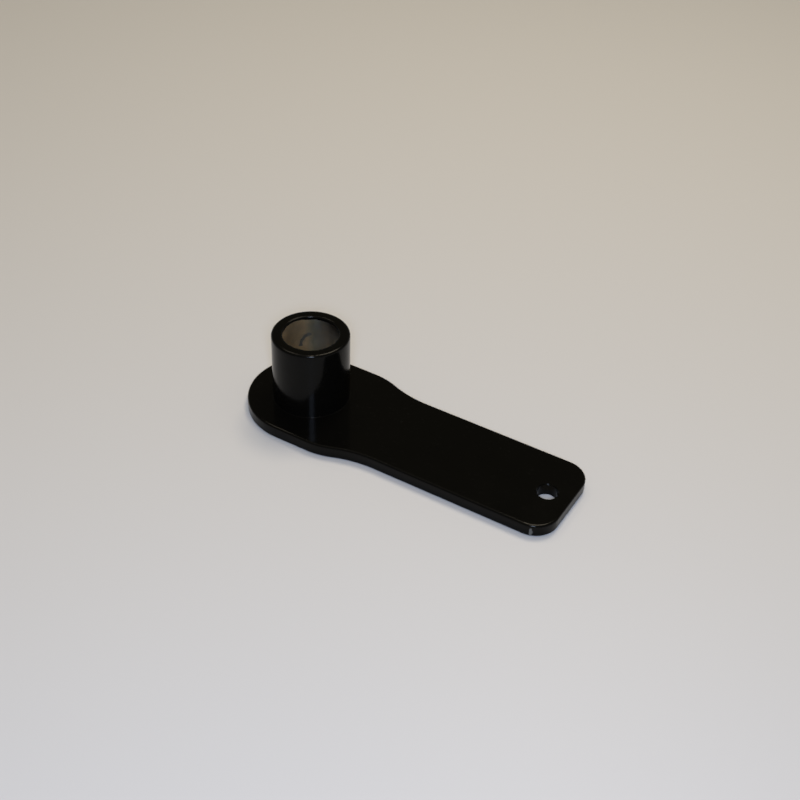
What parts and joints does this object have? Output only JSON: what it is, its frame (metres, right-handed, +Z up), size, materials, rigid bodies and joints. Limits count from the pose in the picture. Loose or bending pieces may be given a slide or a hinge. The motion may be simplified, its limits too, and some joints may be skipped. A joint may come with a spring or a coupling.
{
  "type": "winch handle",
  "caption": "Flat steel winch handle lever with a round hub tube through its head, welded on the underside, and a bolt hole for a grip at the tip.",
  "frame": {"origin": "on the hub's axis, in the plane of the plate's underside", "axes": "+X along the arm to the tip, +Z up the hub from the plate, +Y across the arm"},
  "size_m": [0.16, 0.058, 0.04],
  "materials": {
    "plate_coat": "gloss black coat with a slight orange peel",
    "tube_coat": "gloss black coat outside and over the rim, bare grey steel in the bore",
    "weld_coat": "gloss black coat over a weld ground flush"
  },
  "bodies": {
    "root": {"arm_plate": "plate_coat", "hub_tube": "tube_coat", "underside_weld": "weld_coat"}
  },
  "joints": []
}
